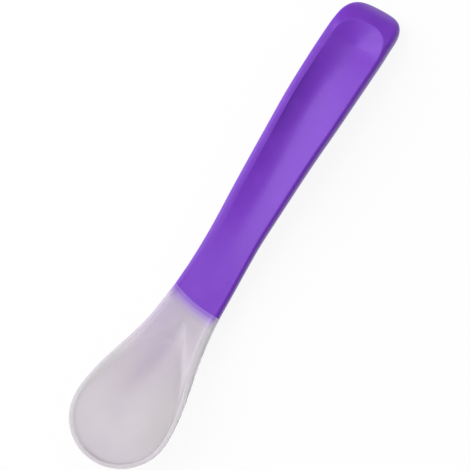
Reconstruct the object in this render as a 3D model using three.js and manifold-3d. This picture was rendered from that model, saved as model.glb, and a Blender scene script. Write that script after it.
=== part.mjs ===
import * as THREE from 'three';
import { mergeVertices } from 'three/addons/utils/BufferGeometryUtils.js';
import Module from 'manifold-3d';

// A weaning spoon in two pieces: a rigid moulded handle, and a soft silicone bowl that is
// locked round the tang at the handle's front end. All lengths are in millimetres.
// +X runs from the bowl to the end of the handle, +Z is up, and z = 0 is the surface
// that the spoon lies on. A reach is a distance along X from the tip of the bowl.

// Plan view of the whole spoon
const spoonLength = 140;
const bowlWidth = 27.9;
const bowlWidestReach = 13.5;
const seamReach = 48.9;
const seamWidth = 14.95;
const waistWidth = 13.85;
const swellWidth = 17.9;
const noseWidth = 17.7;
const noseLength = 9;

// Side view: clear height under the spoon, and thickness over it
const tipHeight = 9.4;
const bowlRimHeight = 8.5;
const throatRimHeight = 7.3;
const neckClearance = 1.25;
const archClearance = 3.15;
const neckThickness = 5;
const archThickness = 6;
const heelThickness = 7;
const noseDrop = 5.2;
const bowlLowReach = 17;
const restFlatDepth = 0.25;

// Edges and fullness of the cross-section
const rimEdgeRadius = 0.45;
const throatEdgeRadius = 1.55;
const neckEdgeRadius = 1.4;
const endEdgeRadius = 2.3;
const bowlFullness = 2.1;
const handleFullness = 3;
const noseFullness = 3.1;
const noseSideFullness = 2.2;
const circleFullness = 2;
const edgeLimitShares = { width: 0.5, height: 0.35 };

// Hollow of the bowl
const rimWall = 1.05;
const floorWall = 1.3;
const hollowEndGap = 5.4;
const hollowDeepReach = 15;
const hollowTailShares = { fullness: 1.9, taper: 0.8 };
const hollowFallPower = 1.5;
const hollowRoundness = 1;

// Thumb trough in the top of the handle
const troughStartGap = 7.1;
const troughEndGap = 5.5;
const troughRim = 1.9;
const troughDepth = 2.3;
const troughEndDepth = 1.5;
const troughRoundLength = 7.5;
const troughFullness = 2.5;
const troughRoundness = 1.5;

// Joint: the silicone lip lies in a step round the handle, and two pegs of silicone
// fill the holes of the tang
const lipLength = 1.8;
const lipStep = 0.9;
const seamSag = 1.1;
const seamSkew = 0.9;
const tangLength = 7;
const tangWidth = 8;
const tangThickness = 1.5;
const tangHeight = 3;
const tangCornerRadius = 1.5;
const lockHoleDiameter = 2.4;
const lockHoleSpacing = 4;
const lockHoleSetback = 3.2;
const jointGap = 0.3;

// Overrun of every cutting shape past what it cuts
const cutOverrun = 3;

// Fineness of the faces
const sideSteps = 3;
const cornerSteps = 4;
const undersideSteps = 9;
const bowlStations = 30;
const handleStations = 34;
const noseStations = 10;
const neckStations = 5;
const seamSteps = 18;
const hollowStations = 26;
const hollowSteps = 22;
const troughRunStations = 17;
const troughRoundStations = 9;
const troughSteps = 14;

const handleLength = spoonLength - seamReach;
const noseReach = spoonLength - noseLength;
const tongueReach = seamReach - lipLength;
const tangReach = tongueReach - tangLength;
const hollowEndReach = seamReach - hollowEndGap;
const troughStartReach = seamReach + troughStartGap;

// A smooth curve through [place, value] points, level at its highs and lows
function smoothCurve(points) {
  const slopes = points.map((point, i) => {
    if (i === 0 || i === points.length - 1) return 0;
    const before = (point[1] - points[i - 1][1]) / (point[0] - points[i - 1][0]);
    const after = (points[i + 1][1] - point[1]) / (points[i + 1][0] - point[0]);
    return before * after > 0 ? (2 * before * after) / (before + after) : 0;
  });
  return (place) => {
    const x = THREE.MathUtils.clamp(place, points[0][0], points[points.length - 1][0]);
    const last = points.length - 2;
    const i = Math.min(points.findIndex((point, n) => n > last || x <= points[n + 1][0]), last);
    const [x0, y0] = points[i];
    const [x1, y1] = points[i + 1];
    const run = x1 - x0;
    const t = (x - x0) / run;
    const rise = t * t * (3 - 2 * t);
    const bend0 = slopes[i] * run * t * (1 - t) * (1 - t);
    const bend1 = slopes[i + 1] * run * t * t * (t - 1);
    return y0 + (y1 - y0) * rise + bend0 + bend1;
  };
}

const alongHandle = (share) => seamReach + share * handleLength;
const alongThroat = (share) => bowlWidestReach + share * (seamReach - bowlWidestReach);
const betweenWidths = (share) => (seamWidth + share * (bowlWidth - seamWidth)) / 2;

// Narrowing of the bowl towards the neck: shares of its length and of its extra width
const throatShares = [[0.2, 0.89], [0.35, 0.71], [0.5, 0.48], [0.65, 0.27], [0.8, 0.12]];
const lowRimShare = 0.65;
const handlePlaceShares = { rise: 0.05, waist: 0.21, arch: 0.47, deep: 0.62, swell: 0.86, heel: 0.915 };

// Rise of the underside from neck to arch, and its fall from arch to heel
const riseShares = [[0.15, 0.28], [0.265, 0.76]];
const fallShares = [[0.66, 0.79], [0.78, 0.43]];
const risenClearance = (share) => THREE.MathUtils.lerp(neckClearance, archClearance, share);

// Widening of the handle from its waist to its swell: shares of its length and of its extra width
const widenShares = [[0.32, 0.2], [0.5, 0.52], [0.67, 0.88]];
const widening = (share) => (waistWidth + share * (swellWidth - waistWidth)) / 2;

const outline = smoothCurve([
  [bowlWidestReach, bowlWidth / 2],
  ...throatShares.map(([place, width]) => [alongThroat(place), betweenWidths(width)]),
  [seamReach, seamWidth / 2],
  [alongHandle(handlePlaceShares.waist), waistWidth / 2],
  ...widenShares.map(([place, width]) => [alongHandle(place), widening(width)]),
  [alongHandle(handlePlaceShares.swell), swellWidth / 2],
  [noseReach, noseWidth / 2],
]);

const rimHeight = smoothCurve([
  [0, tipHeight],
  [bowlLowReach, bowlRimHeight],
  [alongThroat(lowRimShare), throatRimHeight],
  [seamReach, neckClearance + neckThickness],
]);

const underside = smoothCurve([
  [bowlLowReach, -restFlatDepth],
  [seamReach, neckClearance],
  [alongHandle(handlePlaceShares.rise), neckClearance],
  ...riseShares.map(([place, rise]) => [alongHandle(place), risenClearance(rise)]),
  [alongHandle(handlePlaceShares.arch), archClearance],
  ...fallShares.map(([place, height]) => [alongHandle(place), height * archClearance]),
  [alongHandle(handlePlaceShares.heel), -restFlatDepth],
  [spoonLength, -restFlatDepth],
]);

const thickness = smoothCurve([
  [seamReach, neckThickness],
  [alongHandle(handlePlaceShares.rise), neckThickness],
  [alongHandle(handlePlaceShares.arch), archThickness],
  [alongHandle(handlePlaceShares.heel), heelThickness],
  [spoonLength, heelThickness],
]);

const handleTop = (reach) => underside(reach) + thickness(reach);

const edgeRadius = smoothCurve([
  [bowlWidestReach, rimEdgeRadius],
  [alongThroat(lowRimShare), throatEdgeRadius],
  [seamReach, neckEdgeRadius],
  [noseReach, endEdgeRadius],
]);

const fullness = smoothCurve([
  [bowlWidestReach, bowlFullness],
  [seamReach, handleFullness],
]);

// Falls from 1 to 0 as place goes from 0 to 1, round at the end
const roundOff = (place, roundness) => Math.pow(Math.max(0, 1 - Math.pow(place, roundness)), 1 / roundness);

// Size of the spoon's cross-section at a reach
function sectionAt(reach) {
  if (reach < seamReach) {
    const tipShare = Math.max(0, (bowlWidestReach - reach) / bowlWidestReach);
    const lowShare = Math.max(0, (bowlLowReach - reach) / bowlLowReach);
    const top = rimHeight(reach);
    const depth = top - underside(reach);
    return {
      halfWidth: outline(reach) * roundOff(tipShare, circleFullness),
      top,
      bottom: top - depth * roundOff(lowShare, bowlFullness),
      edge: edgeRadius(reach),
      fullness: fullness(reach),
    };
  }
  const noseShare = Math.max(0, (reach - noseReach) / noseLength);
  const heel = underside(reach);
  const high = handleTop(reach);
  const middle = (heel + high - noseShare * noseDrop) / 2;
  const sideScale = roundOff(noseShare, noseSideFullness);
  return {
    halfWidth: outline(reach) * roundOff(noseShare, noseFullness),
    top: middle + (high - middle) * sideScale,
    bottom: middle + (heel - middle) * sideScale,
    edge: edgeRadius(reach),
    fullness: fullness(reach),
  };
}

// One ring of points [y, z]: across the flat top, round the edge, and down round the underside
function sectionRing(section, inset) {
  const halfWidth = section.halfWidth - inset;
  const top = section.top - inset;
  const bottom = section.bottom + inset;
  const edgeLimit = Math.min(halfWidth * edgeLimitShares.width, (top - bottom) * edgeLimitShares.height);
  const edge = Math.min(Math.max(section.edge - inset, rimEdgeRadius / 2), edgeLimit);
  const half = [];
  for (let i = 0; i < sideSteps; i++) half.push([((halfWidth - edge) * i) / sideSteps, top]);
  for (let i = 0; i < cornerSteps; i++) {
    const turn = (Math.PI / 2) * (i / cornerSteps);
    half.push([halfWidth - edge + edge * Math.sin(turn), top - edge + edge * Math.cos(turn)]);
  }
  const flankTop = top - edge;
  for (let i = 0; i <= undersideSteps; i++) {
    const turn = (Math.PI / 2) * (i / undersideSteps);
    const y = halfWidth * Math.pow(Math.max(0, Math.cos(turn)), 2 / section.fullness);
    const z = flankTop - (flankTop - bottom) * Math.pow(Math.sin(turn), 2 / section.fullness);
    half.push([i === undersideSteps ? 0 : y, z]);
  }
  const mirrored = half.slice(1, -1).reverse().map(([y, z]) => [-y, z]);
  return [...half, ...mirrored];
}

// A closed body through rings of [y, z] points at their reaches, its ends drawn to a point
function loft(stations) {
  const points = [];
  const faces = [];
  const count = stations[0].ring.length;
  const addPoint = (reach, y, z) => points.push(reach - spoonLength / 2, y, z) / 3 - 1;
  const ringStart = stations.map(({ reach, ring }) => {
    const start = points.length / 3;
    ring.forEach(([y, z]) => addPoint(reach, y, z));
    return start;
  });
  const first = stations[0];
  const last = stations[stations.length - 1];
  const front = addPoint(first.endReach ?? first.reach, 0, first.endHeight ?? meanHeight(first.ring));
  const back = addPoint(last.endReach ?? last.reach, 0, last.endHeight ?? meanHeight(last.ring));
  for (let i = 0; i < count; i++) {
    const next = (i + 1) % count;
    for (let n = 0; n < stations.length - 1; n++) {
      const a = ringStart[n] + i;
      const b = ringStart[n] + next;
      const c = ringStart[n + 1] + i;
      const d = ringStart[n + 1] + next;
      faces.push(a, c, b, b, c, d);
    }
    faces.push(front, ringStart[0] + i, ringStart[0] + next);
    faces.push(back, ringStart[stations.length - 1] + next, ringStart[stations.length - 1] + i);
  }
  const geometry = new THREE.BufferGeometry();
  geometry.setAttribute('position', new THREE.Float32BufferAttribute(points, 3));
  geometry.setIndex(faces);
  return geometry;
}

function meanHeight(ring) {
  return ring.reduce((sum, [, z]) => sum + z, 0) / ring.length;
}

const wasm = await Module();
wasm.setup();

function toSolid(geometry) {
  const bare = geometry.clone();
  bare.deleteAttribute('normal');
  bare.deleteAttribute('uv');
  const merged = mergeVertices(bare);
  const mesh = new wasm.Mesh({
    numProp: 3,
    vertProperties: merged.attributes.position.array,
    triVerts: Uint32Array.from(merged.index.array),
  });
  return new wasm.Manifold(mesh);
}

function toGeometry(solid) {
  const mesh = solid.getMesh();
  const geometry = new THREE.BufferGeometry();
  geometry.setAttribute('position', new THREE.BufferAttribute(Float32Array.from(mesh.vertProperties), 3));
  geometry.setIndex(Array.from(mesh.triVerts));
  geometry.computeVertexNormals();
  return geometry;
}

// Outer form of the whole spoon, bowl and handle in one flow
function spoonForm() {
  const stations = [];
  const tipStations = Math.round(bowlStations / 2);
  const throatStations = bowlStations - tipStations;
  for (let i = 1; i < tipStations; i++) {
    const turn = (Math.PI / 2) * (i / tipStations);
    stations.push(bowlLowReach * (1 - Math.cos(turn)));
  }
  for (let i = 0; i < throatStations; i++) {
    stations.push(THREE.MathUtils.lerp(bowlLowReach, seamReach, i / throatStations));
  }
  for (let i = 0; i < handleStations; i++) {
    stations.push(THREE.MathUtils.lerp(seamReach, noseReach, i / handleStations));
  }
  for (let i = 0; i < noseStations; i++) {
    const turn = (Math.PI / 2) * (i / noseStations);
    stations.push(noseReach + noseLength * Math.pow(Math.sin(turn), 2 / noseFullness));
  }
  const rings = stations.map((reach) => ({ reach, ring: sectionRing(sectionAt(reach), 0) }));
  const nose = sectionAt(spoonLength);
  rings[0].endReach = 0;
  rings[0].endHeight = tipHeight - rimEdgeRadius;
  rings[rings.length - 1].endReach = spoonLength;
  rings[rings.length - 1].endHeight = (nose.top + nose.bottom) / 2;
  return toSolid(loft(rings));
}

// The spoon's form drawn in by an inset, along the joint only
function neckCore(inset) {
  const from = tongueReach - cutOverrun;
  const to = seamReach + seamSag + seamSkew + cutOverrun;
  const stations = [];
  for (let i = 0; i <= neckStations; i++) {
    const reach = THREE.MathUtils.lerp(from, to, i / neckStations);
    stations.push({ reach, ring: sectionRing(sectionAt(reach), inset) });
  }
  return toSolid(loft(stations));
}

// Everything on the handle's side of a curved upright seam at a reach
function behindSeam(reach) {
  const side = bowlWidth / 2 + cutOverrun;
  const half = seamWidth / 2;
  const edgeX = (y) => reach - spoonLength / 2 + seamSag * (y / half) ** 2 + seamSkew * (y / half);
  const shape = new THREE.Shape();
  const far = spoonLength / 2 + cutOverrun;
  shape.moveTo(far, -side);
  shape.lineTo(far, side);
  shape.lineTo(edgeX(half), side);
  for (let i = 0; i <= seamSteps; i++) {
    const y = half * (1 - (2 * i) / seamSteps);
    shape.lineTo(edgeX(y), y);
  }
  shape.lineTo(edgeX(-half), -side);
  shape.closePath();
  const height = archClearance + archThickness + heelThickness + 2 * cutOverrun;
  const geometry = new THREE.ExtrudeGeometry(shape, { depth: height, bevelEnabled: false });
  geometry.translate(0, 0, -cutOverrun);
  return toSolid(geometry);
}

// The flat tang with its two lock holes; a growth makes the socket that takes it
function tang(growth) {
  const half = tangWidth / 2 + growth;
  const corner = tangCornerRadius + growth;
  const front = tangReach - growth - spoonLength / 2;
  const back = seamReach + seamSag + lipLength - spoonLength / 2;
  const shape = new THREE.Shape();
  shape.moveTo(back, -half);
  shape.lineTo(back, half);
  shape.lineTo(front + corner, half);
  shape.absarc(front + corner, half - corner, corner, Math.PI / 2, Math.PI, false);
  shape.absarc(front + corner, corner - half, corner, Math.PI, 1.5 * Math.PI, false);
  shape.closePath();
  for (const side of [-1, 1]) {
    const hole = new THREE.Path();
    const holeX = tangReach + lockHoleSetback - spoonLength / 2;
    hole.absarc(holeX, (side * lockHoleSpacing) / 2, lockHoleDiameter / 2 - growth, 0, 2 * Math.PI, true);
    shape.holes.push(hole);
  }
  const options = { depth: tangThickness + 2 * growth, bevelEnabled: false, curveSegments: cornerSteps };
  const geometry = new THREE.ExtrudeGeometry(shape, options);
  geometry.translate(0, 0, tangHeight - growth);
  return toSolid(geometry);
}

// The hollow of the bowl, from the rim down, with a pointed run up into the neck
function hollow() {
  const innerHalf = bowlWidth / 2 - rimWall;
  const depth = rimHeight(hollowDeepReach) - floorWall;
  const stations = [];
  const tipCount = Math.round(hollowStations / 2);
  const tailCount = hollowStations - tipCount;
  for (let i = 1; i < tipCount; i++) {
    const turn = (Math.PI / 2) * (i / tipCount);
    stations.push(rimWall + (hollowDeepReach - rimWall) * (1 - Math.cos(turn)));
  }
  for (let i = 0; i < tailCount; i++) {
    const turn = (Math.PI / 2) * (i / tailCount);
    stations.push(THREE.MathUtils.lerp(hollowDeepReach, hollowEndReach, Math.sin(turn)));
  }
  const rings = stations.map((reach) => {
    const tipShare = Math.max(0, (bowlWidestReach - reach) / (bowlWidestReach - rimWall));
    const tailShare = Math.max(0, (reach - bowlWidestReach) / (hollowEndReach - bowlWidestReach));
    const tail = Math.pow(1 - Math.pow(tailShare, hollowTailShares.fullness), hollowTailShares.taper);
    const half = innerHalf * roundOff(tipShare, circleFullness) * tail;
    const nearShare = Math.max(0, (hollowDeepReach - reach) / (hollowDeepReach - rimWall));
    const farShare = Math.max(0, (reach - hollowDeepReach) / (hollowEndReach - hollowDeepReach));
    const fall = (1 - Math.pow(farShare, hollowFallPower)) * roundOff(nearShare, bowlFullness);
    return { reach, ring: scoopRing(half, rimHeight(reach), depth * fall, hollowSteps, hollowRoundness) };
  });
  rings[0].endReach = rimWall;
  rings[0].endHeight = rimHeight(rimWall) + cutOverrun / 2;
  rings[rings.length - 1].endReach = hollowEndReach;
  rings[rings.length - 1].endHeight = rimHeight(hollowEndReach) + cutOverrun / 2;
  return toSolid(loft(rings));
}

// A ring of a scooping cut: a round floor below a level, and an open top above it
function scoopRing(half, level, depth, steps, roundness) {
  const ring = [[half, level + cutOverrun]];
  for (let i = 0; i <= steps; i++) {
    const turn = Math.PI * (i / steps);
    ring.push([half * Math.cos(turn), level - depth * Math.pow(Math.sin(turn), roundness)]);
  }
  ring.push([-half, level + cutOverrun]);
  return ring;
}

// The long thumb trough, shallow at the neck and closed by a round end
function trough() {
  const endReach = spoonLength - troughEndGap;
  const roundReach = endReach - troughRoundLength;
  const depthAlong = smoothCurve([
    [troughStartReach, 0],
    [alongHandle(handlePlaceShares.deep), troughDepth],
    [roundReach, troughEndDepth],
    [endReach, troughEndDepth],
  ]);
  const stations = [];
  for (let i = 1; i < troughRunStations; i++) {
    stations.push(THREE.MathUtils.lerp(troughStartReach, roundReach, i / troughRunStations));
  }
  for (let i = 0; i < troughRoundStations; i++) {
    const turn = (Math.PI / 2) * (i / troughRoundStations);
    stations.push(roundReach + troughRoundLength * Math.sin(turn));
  }
  const rings = stations.map((reach) => {
    const roundShare = Math.max(0, (reach - roundReach) / troughRoundLength);
    const closing = roundOff(roundShare, troughFullness);
    const half = (sectionAt(reach).halfWidth - troughRim) * closing;
    const depth = depthAlong(reach) * closing;
    return { reach, ring: scoopRing(half, handleTop(reach), depth, troughSteps, troughRoundness) };
  });
  rings[0].endReach = troughStartReach;
  rings[0].endHeight = handleTop(troughStartReach) + cutOverrun / 2;
  rings[rings.length - 1].endReach = endReach;
  rings[rings.length - 1].endHeight = handleTop(endReach) + cutOverrun / 2;
  return toSolid(loft(rings));
}

// Everything under the surface that the spoon lies on
function belowRest() {
  const size = spoonLength + 2 * cutOverrun;
  const block = new THREE.BoxGeometry(size, bowlWidth + 2 * cutOverrun, cutOverrun);
  block.translate(0, 0, -cutOverrun / 2);
  return toSolid(block);
}

const form = spoonForm().subtract(belowRest());

const handleSolid = form
  .intersect(behindSeam(seamReach))
  .add(neckCore(lipStep).intersect(behindSeam(tongueReach)))
  .add(tang(0))
  .subtract(trough());

const softBowlSolid = form
  .subtract(behindSeam(seamReach - jointGap))
  .subtract(neckCore(lipStep - jointGap).intersect(behindSeam(tongueReach - jointGap)))
  .subtract(tang(jointGap))
  .subtract(hollow());

const handleMaterial = new THREE.MeshStandardMaterial({ color: 0x8248cd, roughness: 0.35, metalness: 0 });
const siliconeMaterial = new THREE.MeshStandardMaterial({ color: 0xcec9cf, roughness: 0.45, metalness: 0 });

const handle = new THREE.Mesh(toGeometry(handleSolid), handleMaterial);
handle.name = 'handle';

const softBowl = new THREE.Mesh(toGeometry(softBowlSolid), siliconeMaterial);
softBowl.name = 'soft_bowl';

const spoon = new THREE.Group();
spoon.add(handle, softBowl);

export default spoon;
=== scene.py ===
import math

import bmesh
import bpy
from mathutils import Matrix, Vector


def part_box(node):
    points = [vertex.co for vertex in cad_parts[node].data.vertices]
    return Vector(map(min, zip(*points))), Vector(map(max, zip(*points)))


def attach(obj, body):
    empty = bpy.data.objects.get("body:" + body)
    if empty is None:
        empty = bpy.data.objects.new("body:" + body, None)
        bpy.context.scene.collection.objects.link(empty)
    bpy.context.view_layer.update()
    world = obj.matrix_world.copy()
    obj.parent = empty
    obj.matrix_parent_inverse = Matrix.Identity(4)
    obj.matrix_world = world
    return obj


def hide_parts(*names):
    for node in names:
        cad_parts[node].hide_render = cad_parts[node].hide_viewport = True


# Weaning spoon: a satin purple handle, and a soft silicone bowl moulded onto it.
# Form values are in millimetres and degrees, those of the stage and the camera in metres.
# A reach is the distance along +X from the tip of the bowl.

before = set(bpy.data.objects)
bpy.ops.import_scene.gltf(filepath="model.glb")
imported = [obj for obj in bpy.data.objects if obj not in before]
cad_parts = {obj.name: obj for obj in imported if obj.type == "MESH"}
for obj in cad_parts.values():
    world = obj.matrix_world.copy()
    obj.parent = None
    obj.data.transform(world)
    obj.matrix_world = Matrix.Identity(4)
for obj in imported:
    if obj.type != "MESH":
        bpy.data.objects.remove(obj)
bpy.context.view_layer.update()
mm = 0.001

bowlLow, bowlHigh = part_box("soft_bowl")
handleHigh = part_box("handle")[1]
tipPlace = bowlLow[0] / mm
wholeLength = (handleHigh[0] - bowlLow[0]) / mm
wholeWidth = (bowlHigh[1] - bowlLow[1]) / mm

formValues = {
    "widestReach": 13.5,      # middle of the round tip
    "lowReach": 17,           # where the rim dips and the underside leaves the table
    "seamReach": 48.9,        # where the curves of the bowl end and those of the handle start
    "noseReach": 131,         # where the round end starts
    "seamWidth": 14.95,
    "waistWidth": 13.85,
    "swellWidth": 17.9,
    "noseWidth": 17.7,
    "tipHeight": 9.4,
    "rimHeight": 8.5,
    "throatHeight": 7.3,
    "neckClearance": 1.25,    # of the underside above the table
    "archClearance": 3.15,
    "neckThickness": 5,
    "archThickness": 6,
    "heelThickness": 7,
    "noseDrop": 5.2,          # how far the round end leans down
    "edgeRadii": (0.45, 1.4, 1.15, 1.5),      # rim, throat, neck, nose
    "fullness": (2.1, 3.0),                   # bowl, handle
    "noseFullness": 3.1,
    "noseSideFullness": 2.2,
    "throatShare": 0.65,      # of the way from the bowl's middle to the seam
    "neckShare": 0.05,        # of the way from the seam to the handle's end
    "waistShare": 0.21,
    "archShare": 0.47,
    "swellShare": 0.86,
    "heelShare": 0.915,
    "throatWidths": ((0.2, 0.89), (0.35, 0.71), (0.5, 0.48), (0.65, 0.27), (0.8, 0.12)),
    "swellWidths": ((0.32, 0.2), (0.5, 0.52), (0.67, 0.88)),      # shares of the way and of the width
    "riseHeights": ((0.15, 0.28), (0.265, 0.76)),     # of the underside, up to its arch
    "fallHeights": ((0.66, 0.79), (0.78, 0.43)),      # and down from it
}

hollowValues = {
    "rim": (1.05, 1.75),      # its width in the bowl and at the neck
    "rimReach": (18, 36),     # from where to where it widens
    "floor": 1.3,
    "deepReach": 15,
    "apexReach": 43.5,
    "fallPower": 1.5,
    "fallEnd": 1.5,           # 1 is a sharp end at the apex
    "narrowPowers": (2.6, 0.8),       # of the curve by which it narrows
    "shoulderShare": 0.8,     # of its width, below which the row beside the rim is level with it
    "roundness": (0.8, 1.2),  # in the bowl and the throat: 0.5 is an ellipse across, 1 a parabola
    "throatReach": (20, 38),  # from where the hollow narrows to its apex
    "apexShare": 0.16,        # its half width there, as a share of the recess
    "recess": 0.35,           # depth of the shallow recess between the rims of the throat
    "recessReach": (20, 30, 46, 48.3),        # where it starts, is full, fades and ends
}

troughValues = {
    "startReach": 55,
    "deepReach": 105.4,
    "roundReach": 127.2,      # middle of the round end
    "endReach": 134.4,
    "rim": 1.75,
    "sideShift": -0.65,       # of the whole trough, so that the -Y rim is the narrower one
    "shiftReach": (44.5, 63),     # over which that shift comes in
    "rimShiftShare": 0.6,     # how much of it the middle of the rim takes
    "floorShift": ((70, 0), (93, 1.1), (109, 2.25), (118, 1.6), (126, 0.3), (132, -0.5)),   # to +Y
    "floorShares": (1, 0.95, 0.72, 0.4, 0.15, 0.04, 0),     # how much each row takes of it, floor first
    "slope": ((78, 0.6), (93, 1.5)),      # reaches and depths on the way down
    "depth": 2.2,
    "endDepth": 1.5,
    "openReach": (44.5, 54),  # over which the rows of the hollow widen into its own
    "roundFullness": 2.4,
    "vee": 1.9,               # 1 is two flat slopes that meet in a line, 2 is a round channel
    "softness": 1.3,          # of its edges, 1 is sharp
    "leadLength": 20,         # over which the rows turn into the round end
}

cageValues = {
    "tipSteps": 16,           # spokes of the half circle at the tip
    "noseSteps": 16,
    "pocketTurns": (90, 78, 58, 36, 22, 13, 0),       # rows from the middle to the rim
    "edgeTurns": (22.5, 67.5),
    "flankTurns": (22.5, 45, 67.5, 82, 90),           # down to the middle of the underside
    "bowlStations": (16, 18.5, 21.5, 24.5, 27.5, 30.5, 33.5, 36.5, 39, 41, 42.6, 43.8, 45),
    "seamSpacing": 1.25,
    "handleStations": (54, 57, 60.5, 64, 68, 72, 76, 80, 84, 88, 92, 96, 100, 104, 108, 112, 115.5,
                       119, 122, 125, 128),
    "smoothLevels": 3,
    "mergeDistance": 0.01,
}
pocketRows = len(cageValues["pocketTurns"])
rowCount = pocketRows + 1 + len(cageValues["edgeTurns"]) + len(cageValues["flankTurns"])
ringCount = 2 * (rowCount - 1)
edgeTurn = math.radians(cageValues["pocketTurns"][-2])      # of the row beside the rim


def smoothCurve(points):      # level at its highs and lows
    slopes = [0] * len(points)
    for i in range(1, len(points) - 1):
        before = (points[i][1] - points[i - 1][1]) / (points[i][0] - points[i - 1][0])
        after = (points[i + 1][1] - points[i][1]) / (points[i + 1][0] - points[i][0])
        if before * after > 0:
            slopes[i] = 2 * before * after / (before + after)

    def valueAt(place):
        x = min(max(place, points[0][0]), points[-1][0])
        i = 0
        while i < len(points) - 2 and x > points[i + 1][0]:
            i += 1
        (x0, y0), (x1, y1) = points[i], points[i + 1]
        run = x1 - x0
        t = (x - x0) / run
        rise = t * t * (3 - 2 * t)
        bend = slopes[i] * run * t * (1 - t) ** 2 + slopes[i + 1] * run * t * t * (t - 1)
        return y0 + (y1 - y0) * rise + bend

    return valueAt


def ease(place, start, end):      # 0 before the start, 1 after the end, smooth between
    t = min(max((place - start) / (end - start), 0), 1)
    return t * t * (3 - 2 * t)


def roundOff(place, roundness):
    return max(0, 1 - max(0, place) ** roundness) ** (1 / roundness)


def blend(a, b, share):
    return a + (b - a) * share


form = formValues
seamReach = form["seamReach"]
handleLength = wholeLength - seamReach


def alongThroat(share):
    return blend(form["widestReach"], seamReach, share)


def alongHandle(share):
    return seamReach + share * handleLength


def betweenWidths(share):
    return blend(form["seamWidth"], wholeWidth, share) / 2


def widening(share):
    return blend(form["waistWidth"], form["swellWidth"], share) / 2


outline = smoothCurve([
    (form["widestReach"], wholeWidth / 2),
    *((alongThroat(place), betweenWidths(width)) for place, width in form["throatWidths"]),
    (seamReach, form["seamWidth"] / 2),
    (alongHandle(form["waistShare"]), form["waistWidth"] / 2),
    *((alongHandle(place), widening(width)) for place, width in form["swellWidths"]),
    (alongHandle(form["swellShare"]), form["swellWidth"] / 2),
    (form["noseReach"], form["noseWidth"] / 2),
])

rimTop = smoothCurve([
    (0, form["tipHeight"]),
    (form["lowReach"], form["rimHeight"]),
    (alongThroat(form["throatShare"]), form["throatHeight"]),
    (seamReach, form["neckClearance"] + form["neckThickness"]),
])

underside = smoothCurve([
    (form["lowReach"], 0),
    (seamReach, form["neckClearance"]),
    (alongHandle(form["neckShare"]), form["neckClearance"]),
    *((alongHandle(place), blend(form["neckClearance"], form["archClearance"], rise))
      for place, rise in form["riseHeights"]),
    (alongHandle(form["archShare"]), form["archClearance"]),
    *((alongHandle(place), height * form["archClearance"]) for place, height in form["fallHeights"]),
    (alongHandle(form["heelShare"]), 0),
])

thickness = smoothCurve([
    (seamReach, form["neckThickness"]),
    (alongHandle(form["neckShare"]), form["neckThickness"]),
    (alongHandle(form["archShare"]), form["archThickness"]),
    (alongHandle(form["heelShare"]), form["heelThickness"]),
])

edgeReaches = (form["widestReach"], alongThroat(form["throatShare"]), seamReach, form["noseReach"])
edgeRadius = smoothCurve(list(zip(edgeReaches, form["edgeRadii"])))

fullness = smoothCurve([
    (form["widestReach"], form["fullness"][0]),
    (seamReach, form["fullness"][1]),
])

troughDepth = smoothCurve([
    (troughValues["startReach"], 0),
    *troughValues["slope"],
    (troughValues["deepReach"], troughValues["depth"]),
    (troughValues["roundReach"], troughValues["endDepth"]),
])

floorShift = smoothCurve(troughValues["floorShift"])


def topAt(reach):      # height of the upper side
    if reach < seamReach:
        return rimTop(reach)
    return noseHeight(reach, underside(reach) + thickness(reach))


def noseHeight(reach, height):      # the round end draws in and down
    share = (reach - form["noseReach"]) / (wholeLength - form["noseReach"])
    if share <= 0:
        return height
    middle = form["heelThickness"] / 2
    drawn = roundOff(share, form["noseSideFullness"])
    return max(0, middle - share * form["noseDrop"] / 2 + (height - middle) * drawn)


def pocketHalfAt(reach):      # half width of the trough, or of the recess round the hollow
    rim = blend(*hollowValues["rim"], ease(reach, *hollowValues["rimReach"]))
    rim = blend(rim, troughValues["rim"], ease(reach, seamReach, troughValues["startReach"]))
    return outline(reach) - rim


def pocketPoint(reach, turn):      # turn goes from 0 at the rim to a right angle in the middle
    hollow = hollowValues
    half = pocketHalfAt(reach)
    start, apex = hollow["throatReach"][0], hollow["apexReach"]
    power, rootPower = hollow["narrowPowers"]
    narrowed = (1 - min(1, max(0, (reach - start) / (apex - start))) ** power) ** rootPower
    opened = ease(reach, *troughValues["openReach"])
    share = blend(max(narrowed, hollow["apexShare"]), 1, opened)
    y = half * math.cos(turn) * (share if turn > edgeTurn else 1)
    if reach > seamReach:
        slopes = 1 - math.cos(turn) ** troughValues["vee"]
        return y, troughDepth(reach) * slopes ** troughValues["softness"]
    far = min(1, max(0, (reach - hollow["deepReach"]) / (apex - hollow["deepReach"])))
    deepest = rimTop(hollow["deepReach"]) - hollow["floor"]
    roundness = blend(*hollow["roundness"], ease(reach, *hollow["throatReach"]))
    fall = (1 - far ** hollow["fallPower"]) ** hollow["fallEnd"]
    depth = deepest * fall * math.sin(turn) ** (2 * roundness)
    if turn <= edgeTurn:
        depth *= blend(share, 0, ease(share, 1, hollow["shoulderShare"]))
    begin, full, fade, end = hollow["recessReach"]
    recess = hollow["recess"] * ease(reach, begin, full) * (1 - ease(reach, fade, end))
    return y, depth + (recess if turn > 0 else 0)


def sideShift(reach, row):      # the trough lies a little to one side, and the rim's middle follows it
    trough = troughValues
    if row > pocketRows:
        return 0
    shift = trough["sideShift"] * ease(reach, *trough["shiftReach"])
    if row == pocketRows:
        return shift * trough["rimShiftShare"]
    return shift + floorShift(reach) * trough["floorShares"][row]


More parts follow.
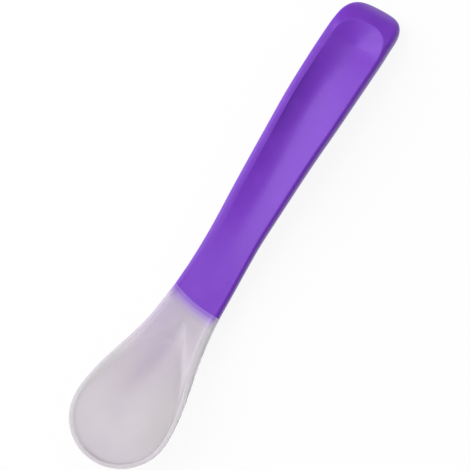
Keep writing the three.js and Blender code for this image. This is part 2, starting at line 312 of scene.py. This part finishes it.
def sectionRows(reach):      # (y, z) of each row from the middle of the top to the middle below
    half, top, bottom = outline(reach), topAt(reach), underside(reach)
    edge, full = edgeRadius(reach), fullness(reach)
    pocketHalf = pocketHalfAt(reach)

    def surface(y):
        over = max(0, y - (half - edge))
        return top - edge + math.sqrt(max(0, edge * edge - over * over))

    rows = []
    for turn in map(math.radians, cageValues["pocketTurns"]):
        y, depth = pocketPoint(reach, turn)
        rows.append((y, surface(pocketHalf) - depth))
    edgeRows = []
    for turn in map(math.radians, cageValues["edgeTurns"]):
        edgeRows.append((half - edge + edge * math.sin(turn), top - edge + edge * math.cos(turn)))
    rimMiddle = (pocketHalf + edgeRows[0][0]) / 2
    outer = [(rimMiddle, surface(rimMiddle)), *edgeRows]
    flankTop = top - edge
    for turn in map(math.radians, cageValues["flankTurns"]):
        y = half * max(0, math.cos(turn)) ** (2 / full)
        outer.append((y, flankTop - (flankTop - bottom) * math.sin(turn) ** (2 / full)))
    return rows + pushedOut(rows[-1], outer)


def pushedOut(before, points):      # a sixth of each bend makes up for what the smoothing draws in
    line = [before, *points, (-points[-2][0], points[-2][1])]
    pushed = []
    for a, b, c in zip(line, line[1:], line[2:]):
        y = b[0] + (2 * b[0] - a[0] - c[0]) / 6
        z = b[1] + (2 * b[1] - a[1] - c[1]) / 6
        pushed.append((y, max(0, z)))
    pushed[-1] = (0, pushed[-1][1])
    return pushed


seamValues = {
    "reach": 48.33,           # of its middle, where the two pieces part
    "sag": 0.8,               # how far the seam's ends lie behind its middle
    "skew": 1.22,             # half of how far its +Y end lies behind its -Y end
    "fadeDistance": (3, 9),   # from the seam, over which the rings straighten
}


def seamBow(y):
    share = y / (form["seamWidth"] / 2)
    return seamValues["sag"] * share * share + seamValues["skew"] * share


noseRows = {
    "lead": [3.8] * pocketRows + [2.4, 1.2, 0.4] + [0] * 5,   # how much nearer to the tip each row turns
    "rimEnds": (136.2, 138.4, 140.3),                         # where the rim's rows cross the middle
}


def ringRow(k):      # row and side of the k-th point round a ring
    return (k, 1) if k < rowCount else (ringCount - k, -1)


def rowPlace(row, side, reach, y, z):
    away = abs(reach - seamValues["reach"])
    bow = seamBow(side * y) * (1 - ease(away, *seamValues["fadeDistance"]))
    return Vector((tipPlace + reach + bow, side * y + sideShift(reach, row), z)) * mm


def ringPlaces(reach):
    turnIn = ease(reach, form["noseReach"] - troughValues["leadLength"], form["noseReach"])
    rows = []
    for row, lead in enumerate(noseRows["lead"]):
        rowReach = reach - lead * turnIn
        rows.append((rowReach, *sectionRows(rowReach)[row]))
    return [rowPlace(row, side, *rows[row]) for row, side in map(ringRow, range(ringCount))]


def spokePlaces(end, angle):      # a half ring turned round the tip or the nose, 0 at the +Y side
    middle = form["widestReach"] if end == "tip" else form["noseReach"]
    rows = []
    for row, lead in enumerate(noseRows["lead"]):
        rowReach = middle - (lead if end == "nose" else 0)
        rows.append((rowReach, *sectionRows(rowReach)[row]))
    rimRow = pocketRows - 1
    floorHeight = rows[0][2]
    power = 2
    turned = []
    for row, (reach, y, z) in enumerate(rows):
        if end == "tip":
            endReach = form["widestReach"] * (1 - y / (wholeWidth / 2))
        elif row <= rimRow:
            endReach = reach + (troughValues["endReach"] - reach) * y / rows[rimRow][1]
            power = troughValues["roundFullness"]
        elif row <= rimRow + len(noseRows["rimEnds"]):
            endReach = noseRows["rimEnds"][row - rimRow - 1]
            power = form["noseFullness"]
        else:
            endReach = reach + (wholeLength - reach) * y / (form["noseWidth"] / 2)
            power = form["noseFullness"]
        across = math.copysign(abs(math.cos(angle)) ** (2 / power), math.cos(angle))
        along = math.sin(angle) ** (2 / power)
        turned.append((reach + (endReach - reach) * along, y * across + sideShift(reach, row), z))
    heights = [endHeight(end, reach, z) for reach, y, z in turned]
    rimHeight = heights[rimRow]
    for row in range(rimRow):
        depthShare = (rows[rimRow][2] - rows[row][2]) / (rows[rimRow][2] - floorHeight)
        heights[row] = rimHeight - (rimHeight - floorHeight) * depthShare
    return [Vector((tipPlace + reach, y, height)) * mm for (reach, y, z), height in zip(turned, heights)]


def endHeight(end, reach, height):
    if end == "tip":
        return height * rimTop(reach) / rimTop(form["widestReach"])
    return noseHeight(reach, height)


def pick(piece):
    bpy.ops.object.select_all(action="DESELECT")
    bpy.context.view_layer.objects.active = piece
    piece.select_set(True)


def startEditing(piece):
    pick(piece)
    bpy.ops.object.mode_set(mode="EDIT")
    bpy.ops.mesh.select_mode(type="VERT")
    return bmesh.from_edit_mesh(piece.data)


def stopEditing():
    bpy.ops.object.mode_set(mode="OBJECT")


def shapeSelected(piece, was, places):      # moves the selected points, found by where they were
    mesh = bmesh.from_edit_mesh(piece.data)
    picked = [vert for vert in mesh.verts if vert.select]
    order = [min(picked, key=lambda vert: (vert.co - place).length) for place in was]
    for vert in picked:
        vert.select = False
    for vert, place in zip(order, places):
        vert.select = True
        bpy.ops.transform.translate(value=place - vert.co)
        vert.select = False
    for vert in order:
        vert.select = True
    mesh.select_flush_mode()


def modelCage():
    spacing = cageValues["seamSpacing"]
    seamStations = [seamValues["reach"] + spacing * n for n in range(-2, 3)]
    stations = [*cageValues["bowlStations"], *seamStations, *cageValues["handleStations"]]
    middle = Vector((tipPlace + form["widestReach"], 0, form["tipHeight"])) * mm
    bpy.ops.object.select_all(action="DESELECT")
    bpy.ops.mesh.primitive_circle_add(
        vertices=ringCount, radius=wholeWidth / 2 * mm, location=middle,
        rotation=(math.pi / 2, 0, math.pi / 2))
    piece = bpy.context.active_object
    bpy.ops.object.transform_apply(location=True, rotation=True, scale=True)
    mesh = startEditing(piece)
    bpy.ops.mesh.select_all(action="SELECT")
    arms = [vert.co - middle for vert in mesh.verts]
    arms.sort(key=lambda arm: round(math.atan2(arm.y, arm.z), 4) % math.tau)      # from the top to +Y
    firstRing = ringPlaces(form["widestReach"])
    shapeSelected(piece, [middle + arm for arm in arms], firstRing)
    ring = firstRing
    for reach in [*stations, form["noseReach"]]:      # from the round tip to the round end
        bpy.ops.mesh.extrude_region_move(TRANSFORM_OT_translate={"value": (0, 0, 0)})
        places = ringPlaces(reach)
        shapeSelected(piece, ring, places)
        ring = places
    closeRound(piece, ring, "nose", cageValues["noseSteps"])
    closeRound(piece, firstRing, "tip", cageValues["tipSteps"])
    bpy.ops.mesh.select_all(action="SELECT")
    bpy.ops.mesh.remove_doubles(threshold=cageValues["mergeDistance"] * mm)
    bpy.ops.mesh.normals_make_consistent(inside=False)
    stopEditing()
    return piece


def closeRound(piece, ring, end, steps):      # spins half a ring round the tip or the nose
    half = ring[:rowCount]
    mesh = bmesh.from_edit_mesh(piece.data)
    bpy.ops.mesh.select_all(action="DESELECT")
    for place in half:
        min(mesh.verts, key=lambda vert: (vert.co - place).length).select = True
    mesh.select_flush_mode()
    mesh.select_flush(True)
    axis = half[-1]
    step = math.pi / steps * (1 if end == "tip" else -1)
    turn = Matrix.Rotation(step, 4, "Z")
    for n in range(1, steps + 1):
        bpy.ops.mesh.spin(steps=1, angle=-step, center=axis, axis=(0, 0, 1))
        places = spokePlaces(end, math.pi * n / steps)
        shapeSelected(piece, [turn @ (place - axis) + axis for place in half], places)
        half = places


cage = modelCage()
print("cage", len(cage.data.vertices), "points", len(cage.data.polygons), "faces")

jointValues = {
    "edgeRound": 0.05,        # radius of the two edges that meet at the seam
    "edgeSteps": 4,
    "seamGap": 0.01,
    "step": 0.9,              # depth of the step that the lip lies in
    "lipLength": 1.8,
    "lipGap": 0.3,
    "middleHeight": 3.75,
    "tangReach": 40.1,
    "tangSize": (8, 1.5),
    "holeReach": 43.3,
    "holeSpacing": 4,
    "holeRadius": 1.2,
    "holeSpare": 1,           # how much longer the cutter is than the tang is thick
    "pegRadius": 1.1,
    "pegSpare": 1.2,          # the same for the peg, which ends inside the silicone
    "roundSides": 32,
    "smoothAngle": 40,
}


def behindSeam(place):
    return place.x / mm - tipPlace - seamBow(place.y / mm) > seamValues["reach"]


def smoothAndPart(piece):      # one smooth spoon, cut in two along the bowed seam
    for name in ("bowl part", "handle part"):
        piece.data.materials.append(bpy.data.materials.new(name))
    mesh = startEditing(piece)
    bpy.ops.mesh.select_mode(type="FACE")
    bpy.ops.mesh.select_all(action="DESELECT")
    for face in mesh.faces:
        if behindSeam(face.calc_center_median()):
            face.select = True
    mesh.select_flush_mode()
    piece.active_material_index = 1
    bpy.ops.object.material_slot_assign()
    stopEditing()
    bpy.ops.object.modifier_add(type="SUBSURF")
    smoothing = piece.modifiers[-1]
    smoothing.levels = cageValues["smoothLevels"]
    smoothing.render_levels = cageValues["smoothLevels"]
    bpy.ops.object.modifier_apply(modifier=smoothing.name)
    startEditing(piece)
    bpy.ops.mesh.separate(type="MATERIAL")
    stopEditing()
    parts = list(bpy.context.selected_objects)
    parts.sort(key=lambda part: sum(vert.co.x for vert in part.data.vertices))
    for part, name in zip(parts, ("softBowl", "spoonHandle")):
        part.name = name
        part.data.name = name
        part.data.materials.clear()
    return parts


def stretchLoop(move, inset, flatten=False, size=None):      # moves the loop along X and narrows it
    mesh = bmesh.from_edit_mesh(bpy.context.edit_object.data)
    picked = [vert.co for vert in mesh.verts if vert.select]
    halfWidth = max(place.y for place in picked) / mm
    heights = [place.z / mm for place in picked]
    halfHeight = (max(heights) - min(heights)) / 2
    middle = Vector((0, 0, (max(heights) + min(heights)) / 2)) * mm
    middle.x = sum(place.x for place in picked) / len(picked)
    across = (halfWidth - inset) / halfWidth
    upright = (halfHeight - inset) / halfHeight
    if size:
        across = size[0] / 2 / halfWidth
        upright = size[1] / 2 / halfHeight
    bpy.ops.transform.resize(value=(0 if flatten else 1, across, upright), center_override=middle)
    bpy.ops.transform.translate(value=(move * mm, 0, 0))


def extrudeLoop(move, inset=0, flatten=False, size=None):
    bpy.ops.mesh.extrude_region_move(TRANSFORM_OT_translate={"value": (0, 0, 0)})
    stretchLoop(move, inset, flatten, size)


def roundSeamEdge(way):      # the open edge turns inwards in a small round; way is 1 on the handle
    radius = jointValues["edgeRound"]
    bpy.ops.mesh.select_all(action="DESELECT")
    bpy.ops.mesh.select_non_manifold(
        use_wire=False, use_multi_face=False, use_non_contiguous=False, use_verts=False)
    stretchLoop(way * (radius + jointValues["seamGap"] / 2), 0)
    turns = jointValues["edgeSteps"]
    for n in range(turns):
        before, after = math.pi / 2 * n / turns, math.pi / 2 * (n + 1) / turns
        move = (math.sin(after) - math.sin(before)) * radius
        extrudeLoop(-way * move, (math.cos(before) - math.cos(after)) * radius)


def closeLoop(piece, reach):      # draws the open loop out flat to a reach and fills it
    extrudeLoop(0, flatten=True)
    mesh = bmesh.from_edit_mesh(piece.data)
    here = next(vert.co.x for vert in mesh.verts if vert.select)
    bpy.ops.transform.translate(value=((tipPlace + reach) * mm - here, 0, 0))
    bpy.ops.mesh.edge_face_add()
    bpy.ops.mesh.select_all(action="SELECT")
    bpy.ops.mesh.normals_make_consistent(inside=False)
    stopEditing()


def modelTongue(piece):      # the stepped front of the handle and its flat tang
    values = jointValues
    startEditing(piece)
    roundSeamEdge(1)
    extrudeLoop(0, values["step"] - values["edgeRound"])
    extrudeLoop(-values["lipLength"])
    extrudeLoop(0, size=values["tangSize"])
    closeLoop(piece, values["tangReach"])


def modelSocket(piece):      # the lip of the bowl and the hole that takes the tang
    values = jointValues
    startEditing(piece)
    roundSeamEdge(-1)
    extrudeLoop(0, values["step"] - values["lipGap"] - values["edgeRound"])
    extrudeLoop(-values["lipLength"])
    extrudeLoop(0, size=[length + 2 * values["lipGap"] for length in values["tangSize"]])
    closeLoop(piece, values["tangReach"] - values["lipGap"])


def lockColumns(piece, radius, spare, operation):      # the tang's two holes, or the two pegs in them
    values = jointValues
    height = values["tangSize"][1] + spare
    for side in (1, -1):
        across = side * values["holeSpacing"] / 2
        place = Vector((tipPlace + values["holeReach"], across, values["middleHeight"])) * mm
        bpy.ops.object.select_all(action="DESELECT")
        bpy.ops.mesh.primitive_cylinder_add(
            vertices=values["roundSides"], radius=radius * mm, depth=height * mm, location=place)
        column = bpy.context.active_object
        pick(piece)
        bpy.ops.object.modifier_add(type="BOOLEAN")
        cut = piece.modifiers[-1]
        cut.operation = operation
        cut.object = column
        bpy.ops.object.modifier_apply(modifier=cut.name)
        bpy.data.objects.remove(column)


softBowl, spoonHandle = smoothAndPart(cage)
modelTongue(spoonHandle)
lockColumns(spoonHandle, jointValues["holeRadius"], jointValues["holeSpare"], "DIFFERENCE")
modelSocket(softBowl)
lockColumns(softBowl, jointValues["pegRadius"], jointValues["pegSpare"], "UNION")
for piece in (softBowl, spoonHandle):
    pick(piece)
    bpy.ops.object.shade_smooth_by_angle(angle=math.radians(jointValues["smoothAngle"]))
    print(piece.name, len(piece.data.polygons), "faces")


def markThickParts(piece):      # 1 where the silicone is thick, in the neck and along the rim
    values = siliconeValues
    names = ("thickPart", "facing")
    for name in names:      # all of them first, because a new one makes the earlier ones stale
        piece.data.attributes.new(name, "FLOAT", "POINT")
    thickPart, facing = (piece.data.attributes[name].data for name in names)
    for vert, thick, flank in zip(piece.data.vertices, thickPart, facing):
        place = vert.co / mm
        reach = place.x - tipPlace
        below = rimTop(reach) - place.z
        inner = vert.normal.z > 0 and outline(reach) - abs(place.y) > values["outerEdge"]
        neck = ease(reach, *values["innerReach" if inner else "outerReach"])
        if not inner:
            neck = blend(neck, ease(reach, *values["sideReach"]), vert.normal.y ** 2)
        thick.value = max(neck, 1 - ease(below, *values["rimDepth"]))
        flank.value = vert.normal.y


class Number:      # a number on a socket, so that sums on it read as Python
    def __init__(self, finish, socket):
        self.finish = finish
        self.socket = socket

    def sum(self, operation, a, b):
        node = self.finish.add("ShaderNodeMath", {"operation": operation}, a, b)
        return Number(self.finish, node.outputs[0])

    def __add__(self, other):
        return self.sum("ADD", self, other)

    def __radd__(self, other):
        return self.sum("ADD", other, self)

    def __sub__(self, other):
        return self.sum("SUBTRACT", self, other)

    def __rsub__(self, other):
        return self.sum("SUBTRACT", other, self)

    def __mul__(self, other):
        return self.sum("MULTIPLY", self, other)

    def __rmul__(self, other):
        return self.sum("MULTIPLY", other, self)

    def __truediv__(self, other):
        return self.sum("DIVIDE", self, other)


def setStops(ramp, stops):
    while len(ramp.elements) < len(stops):
        ramp.elements.new(1)
    for element, (place, value) in zip(ramp.elements, stops):
        element.position = place
        element.color = value


class Finish:      # one material and the ways to add its nodes
    def __init__(self, name):
        self.material = bpy.data.materials.new(name)
        self.material.use_nodes = True
        self.tree = self.material.node_tree
        self.tree.nodes.clear()

    def add(self, kind, settings, *values, **named):
        node = self.tree.nodes.new(kind)
        for key, value in settings.items():
            if key == "stops":
                setStops(node.color_ramp, value)
            else:
                setattr(node, key, value)
        for place, value in enumerate(values):
            self.feed(node.inputs[place], value)
        for name, value in named.items():
            self.feed(node.inputs[name.replace("_", " ")], value)
        return node

    def feed(self, socket, value):
        if isinstance(value, Number):
            self.tree.links.new(value.socket, socket)
        elif isinstance(value, bpy.types.NodeSocket):
            self.tree.links.new(value, socket)
        else:
            socket.default_value = value

    def step(self, value, low, high):      # 0 at the low value, 1 at the high one, smooth between
        settings = {"interpolation_type": "SMOOTHSTEP"}
        node = self.add("ShaderNodeMapRange", settings, value, low, high, 0.0, 1.0)
        return Number(self, node.outputs["Result"])

    def noise(self, size, detail):      # clouds or grains of a size in millimetres
        place = self.add("ShaderNodeTexCoord", {}).outputs["Object"]
        node = self.add("ShaderNodeTexNoise", {}, Vector=place, Scale=1000 / size, Detail=detail)
        return Number(self, node.outputs["Fac"])

    def mark(self, name):      # what was written on the points of the mesh
        return Number(self, self.add("ShaderNodeAttribute", {"attribute_name": name}).outputs["Fac"])

    def blendColours(self, share, a, b):
        node = self.add("ShaderNodeMix", {"data_type": "RGBA"}, share)
        self.feed(node.inputs[6], a)      # 6, 7 and the result 2 are the sockets for colours
        self.feed(node.inputs[7], b)
        return node.outputs[2]

    def bump(self, values, height):
        node = self.add(
            "ShaderNodeBump", {}, Strength=values["bumpStrength"], Distance=values["grainDepth"] * mm,
            Height=height)
        return node.outputs[0]

    def place(self):      # X, Y and Z in millimetres
        spot = self.add("ShaderNodeTexCoord", {}).outputs["Object"]
        apart = self.add("ShaderNodeSeparateXYZ", {}, spot)
        return [Number(self, socket) * 1000 for socket in apart.outputs]

    def finishWith(self, shader):
        self.add("ShaderNodeOutputMaterial", {}, Surface=shader)
        return self.material


def spreadRoughness(values, clouds, grain):      # both are 0.5 on average
    spread = (clouds - 0.5) * values["cloudRoughness"] + (grain - 0.5) * values["grainRoughness"]
    return values["roughness"] + spread


def colour(red, green, blue):      # a colour as a picture gives it
    def straight(value):
        value /= 255
        return value / 12.92 if value <= 0.04045 else ((value + 0.055) / 1.055) ** 2.4

    return (straight(red), straight(green), straight(blue), 1)


plasticValues = {
    "colour": colour(122, 48, 201),
    "paleColour": colour(125, 52, 204),
    "deepColour": colour(119, 45, 198),
    "deepSteps": (0.38, 0.66),        # of the clouds, over which the deep colour ends
    "paleSteps": (0.55, 0.75),        # and the pale one starts
    "cloudSize": 7,
    "grainSize": 0.22,
    "grainDepth": 0.006,
    "bumpStrength": 0.5,
    "roughness": 0.34,
    "cloudRoughness": 0.1,    # how far the clouds and the grain spread it
    "grainRoughness": 0.08,
    "bending": 1.5,           # of light at its surface
}


def makePlastic():
    values = plasticValues
    finish = Finish("satin purple plastic")
    clouds = finish.noise(values["cloudSize"], detail=3)
    grain = finish.noise(values["grainSize"], detail=2)
    body = finish.blendColours(
        finish.step(clouds, *values["deepSteps"]), values["deepColour"], values["colour"])
    body = finish.blendColours(finish.step(clouds, *values["paleSteps"]), body, values["paleColour"])
    roughness = spreadRoughness(values, clouds, grain)
    bump = finish.bump(values, grain)
    shader = finish.add(
        "ShaderNodeBsdfPrincipled", {},
        Base_Color=body, Roughness=roughness, Normal=bump, IOR=values["bending"])
    return finish.finishWith(shader.outputs[0])


siliconeValues = {
    "colour": colour(219, 212, 218),
    "coolColour": colour(215, 207, 215),
    "coolSteps": (0.35, 0.7),     # of the clouds, over which it turns cool
    "cloudSize": 9,
    "throatToneColour": colour(208, 200, 208),
    "throatToneReach": (10, 30),   # over which the bowl turns darker toward the neck
    # painted shade: the -Y half of the bowl is painted greyer and darker
    "shadeGreyColour": colour(205, 200, 203),
    "shadeGreyPlaces": (-10, 0),   # in Y, from where the painted shade is full to where it ends
    "shadeGreyReach": (3, 17),     # over which that painted shade starts
    # painted shade: a soft dark streak from the hollow's apex down the +Y inner wall, which faces away from
    # the key light
    "shadeStreakColour": colour(196, 186, 199),
    "shadeStreak": (14, 31, 41, 0.26, 3.6),    # start, middle and apex, shift per mm to +Y, half width
    "shadeStreakShare": 0.8,
    "shadedWallColour": colour(186, 180, 185),      # painted shade on the wall inside the -Y rim, which faces the key light
    "shadedWallFacing": (0.1, 0.7),     # how far it faces +Y, 1 is fully
    "shadedWallPlaces": (-4, 0),    # in Y, over which it ends
    "shadedWallReach": (22, 34),
    "thickColour": colour(206, 199, 206),
    "paintedGlowColour": colour(252, 247, 252),     # painted glow: paler where the neck faces -Y, away from the key light, in place of light passing through
    "paintedGlowFacing": (-0.75, 0.1),
    "paintedShadeColour": colour(177, 170, 178),    # painted shade: darker where the neck faces +Y, toward the key light
    "paintedShadeFacing": (0.2, 0.9),
    "lilac": colour(184, 158, 214),
    "lilacLength": 30,        # how far the faint lilac reaches into the bowl
    "lilacShares": (0.1, 0.32),       # of it at the -Y side, and how much more at the +Y side
    "bandColour": colour(146, 102, 209),      # of the handle's tongue, seen through the lip
    "bandLength": 4,
    "bandSolid": 0.45,        # share of that length that lets no light through
    "bandGlowFacing": (-0.9, -0.15),      # over which it fades to the -Y flank, a painted glow on the side away from the key light
    "bandGlowFade": 0.7,
    "bandAndHighlightShares": ((0, 0.93), (0.05, 0.88), (0.1, 1), (0.2, 0.93), (0.24, 0.88), (0.31, 0.64),
                   (0.4, 0.62), (0.52, 0.42), (0.65, 0.24), (1, 0)),      # along that length, from the seam; the dips at 0.05 and 0.24 are painted highlight lines along the lip's edges
    "grainSize": 0.5,
    "grainDepth": 0.004,
    "bumpStrength": 0.5,
    "roughness": 0.42,
    "cloudRoughness": 0.12,
    "grainRoughness": 0.06,
    "glowDepth": 7,           # mm that light travels in the silicone
    "glowRadius": (1, 0.95, 1),
    "wall": (0.95, 1.2, 1.0),     # clearness, bending and glow of the thin wall of the bowl
    "neck": (0.0, 1.43, 0.4),     # and of the milky neck and rim
    "innerReach": (33.5, 39.5),   # where the neck turns milky: above, below and at the sides
    "outerReach": (36.5, 40.2),
    "sideReach": (35, 40.5),
    "outerEdge": 0.5,         # from the outline, where the outer side starts
    "rimDepth": (0.4, 1.6),   # over which the milky rim turns clear
}


def makeSilicone():
    values = siliconeValues
    finish = Finish("milky silicone")
    x, y = finish.place()[:2]
    reach = x - tipPlace
    across = y / (form["seamWidth"] / 2)
    bow = across * across * seamValues["sag"] + across * seamValues["skew"]
    ahead = seamValues["reach"] + bow - reach      # distance in front of the seam
    clouds = finish.noise(values["cloudSize"], detail=3)
    grain = finish.noise(values["grainSize"], detail=2)
    thick = finish.mark("thickPart")
    facing = finish.mark("facing")

    cool = finish.step(clouds, *values["coolSteps"])
    body = finish.blendColours(cool, values["colour"], values["coolColour"])
    # darker toward the neck
    body = finish.blendColours(finish.step(reach, *values["throatToneReach"]), body, values["throatToneColour"])
    # painted shade: greyer and darker on the -Y half of the bowl
    shadeGreyShare = (1 - finish.step(y, *values["shadeGreyPlaces"])) * finish.step(reach, *values["shadeGreyReach"])
    body = finish.blendColours(shadeGreyShare, body, values["shadeGreyColour"])
    # painted shade: a soft dark streak from the hollow's apex down the +Y inner wall
    start, middle, apex, slope, width = values["shadeStreak"]
    offLine = y - (apex - reach) * slope
    offLine = finish.add("ShaderNodeMath", {"operation": "ABSOLUTE"}, offLine).outputs[0]
    shadeStreak = finish.step(reach, start, middle) * (1 - finish.step(reach, middle, apex))
    shadeStreak = shadeStreak * (1 - finish.step(offLine, 0.0, width)) * values["shadeStreakShare"]
    body = finish.blendColours(shadeStreak, body, values["shadeStreakColour"])
    # painted shade: darker on the +Y-facing wall inside the -Y rim, where the key light falls
    wall = finish.step(facing, *values["shadedWallFacing"]) * (1 - finish.step(y, *values["shadedWallPlaces"]))
    wall = wall * finish.step(reach, *values["shadedWallReach"])
    body = finish.blendColours(wall, body, values["shadedWallColour"])

    # painted glow: paler where the neck faces -Y, away from the key light
    neck = finish.blendColours(
        finish.step(facing, *values["paintedGlowFacing"]), values["paintedGlowColour"], values["thickColour"])
    # painted shade: darker where the neck faces +Y, toward the key light
    neck = finish.blendColours(
        finish.step(facing, *values["paintedShadeFacing"]), neck, values["paintedShadeColour"])
    body = finish.blendColours(thick, body, neck)
    side = finish.step(across, -1, 1)
    least, more = values["lilacShares"]
    lilacShare = (1 - finish.step(ahead, 0, values["lilacLength"])) * (least + side * more)
    body = finish.blendColours(lilacShare, body, values["lilac"])
    # the tongue seen through the lip, with painted highlight lines along the lip's edges
    stops = [(place, (share, share, share, 1)) for place, share in values["bandAndHighlightShares"]]
    band = finish.add("ShaderNodeValToRGB", {"stops": stops}, ahead / values["bandLength"]).outputs[0]
    # painted glow: the band pales on the -Y flank, away from the key light
    away = 1 - finish.step(facing, *values["bandGlowFacing"])
    band = Number(finish, band) * (1 - away * values["bandGlowFade"])
    body = finish.blendColours(band, body, values["bandColour"])

    roughness = spreadRoughness(values, clouds, grain)
    surface = {"Base_Color": body, "Roughness": roughness, "Normal": finish.bump(values, grain)}
    clear, milky = (
        finish.add(
            "ShaderNodeBsdfPrincipled", {}, **surface, IOR=bending, Transmission_Weight=clearness,
            Subsurface_Weight=glow, Subsurface_Radius=values["glowRadius"],
            Subsurface_Scale=values["glowDepth"] * mm).outputs[0]
        for clearness, bending, glow in (values["wall"], values["neck"]))
    solid = finish.add("ShaderNodeBsdfPrincipled", {}, **surface, IOR=values["neck"][1]).outputs[0]
    mix = finish.add("ShaderNodeMixShader", {}, thick, clear, milky).outputs[0]
    bandSolid = 1 - finish.step(ahead, values["bandLength"] * values["bandSolid"], values["bandLength"])
    mix = finish.add("ShaderNodeMixShader", {}, bandSolid, mix, solid).outputs[0]
    return finish.finishWith(mix)


spoonHandle.data.materials.append(makePlastic())
softBowl.data.materials.append(makeSilicone())
markThickParts(softBowl)
print("finishes made")

stageValues = {
    "floorSize": 4.0,
    "floorShade": 0.6,        # of the light that the floor throws back
    "whiteShare": 0.9,        # how much of the floor the camera sees as plain white
    "worldStrength": 0.42,
    "keyPower": 15,
    "keySize": 1.55,
    "keyPlace": (-0.25, 0.82, 0.65),
    "topPower": 1.0,
    "topSize": 0.5,
    "topPlace": (0.55, 0.1, 0.85),
}


def makeFloor():
    values = stageValues
    bpy.ops.object.select_all(action="DESELECT")
    bpy.ops.mesh.primitive_plane_add(size=values["floorSize"], location=(0, 0, 0))
    floor = bpy.context.active_object
    floor.name = "floor"
    finish = Finish("white paper")
    seen = finish.add("ShaderNodeLightPath", {})
    names = ("Is Camera Ray", "Is Glossy Ray", "Is Transmission Ray")
    camera, glossy, through = (Number(finish, seen.outputs[name]) for name in names)
    shade = values["floorShade"] + camera * (1 - values["floorShade"])
    paper = finish.add("ShaderNodeCombineColor", {}, shade, shade, shade)
    matt = finish.add("ShaderNodeBsdfDiffuse", {}, Color=paper.outputs[0])
    white = finish.add("ShaderNodeEmission", {}, Color=(1, 1, 1, 1), Strength=1.0)
    seenWhite = (camera + glossy + through) * values["whiteShare"]
    mix = finish.add("ShaderNodeMixShader", {}, seenWhite, matt.outputs[0], white.outputs[0])
    floor.data.materials.append(finish.finishWith(mix.outputs[0]))


def makeLights():
    values = stageValues
    world = bpy.data.worlds.new("studio")
    bpy.context.scene.world = world
    world.use_nodes = True
    background = world.node_tree.nodes["Background"]
    background.inputs["Color"].default_value = (1, 1, 1, 1)
    background.inputs["Strength"].default_value = values["worldStrength"]
    for name in ("key", "top"):
        bpy.ops.object.select_all(action="DESELECT")
        bpy.ops.object.light_add(type="AREA", location=values[name + "Place"])
        light = bpy.context.active_object
        light.name = name + " softbox"
        light.data.size = values[name + "Size"]
        light.data.energy = values[name + "Power"]
        light.rotation_euler = Vector(values[name + "Place"]).to_track_quat("Z", "Y").to_euler()


cameraValues = {
    "fromSide": (-0.09379, -0.28065, 0.95522),        # from the spoon to the camera
    "imageUp": (0.84747, 0.48102, 0.22454),
    "distance": 0.7,
    "frameWidth": 0.12167,    # what the picture spans at that distance
    "aim": (0, 0, 0.005),
    "offset": (0.001149, 0.000643),   # of the spoon, to the right and up in the picture
    "sensor": 36,
    "nearest": 0.01,
}


def makeCamera():
    values = cameraValues
    back = Vector(values["fromSide"]).normalized()
    right = Vector(values["imageUp"]).cross(back).normalized()
    up = back.cross(right)
    aim = Vector(values["aim"]) - right * values["offset"][0] - up * values["offset"][1]
    bpy.ops.object.select_all(action="DESELECT")
    bpy.ops.object.camera_add()
    camera = bpy.context.active_object
    turn = Matrix((right, up, back)).transposed().to_4x4()
    camera.matrix_world = Matrix.Translation(aim + back * values["distance"]) @ turn
    camera.data.sensor_width = values["sensor"]
    camera.data.lens = values["sensor"] * values["distance"] / values["frameWidth"]
    camera.data.clip_start = values["nearest"]
    bpy.context.scene.camera = camera


makeFloor()
makeLights()
makeCamera()
bpy.context.scene.view_settings.view_transform = "Standard"
print("floor, lights and camera made")

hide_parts("soft_bowl")
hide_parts("handle")
for piece in (softBowl, spoonHandle):
    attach(piece, "root")
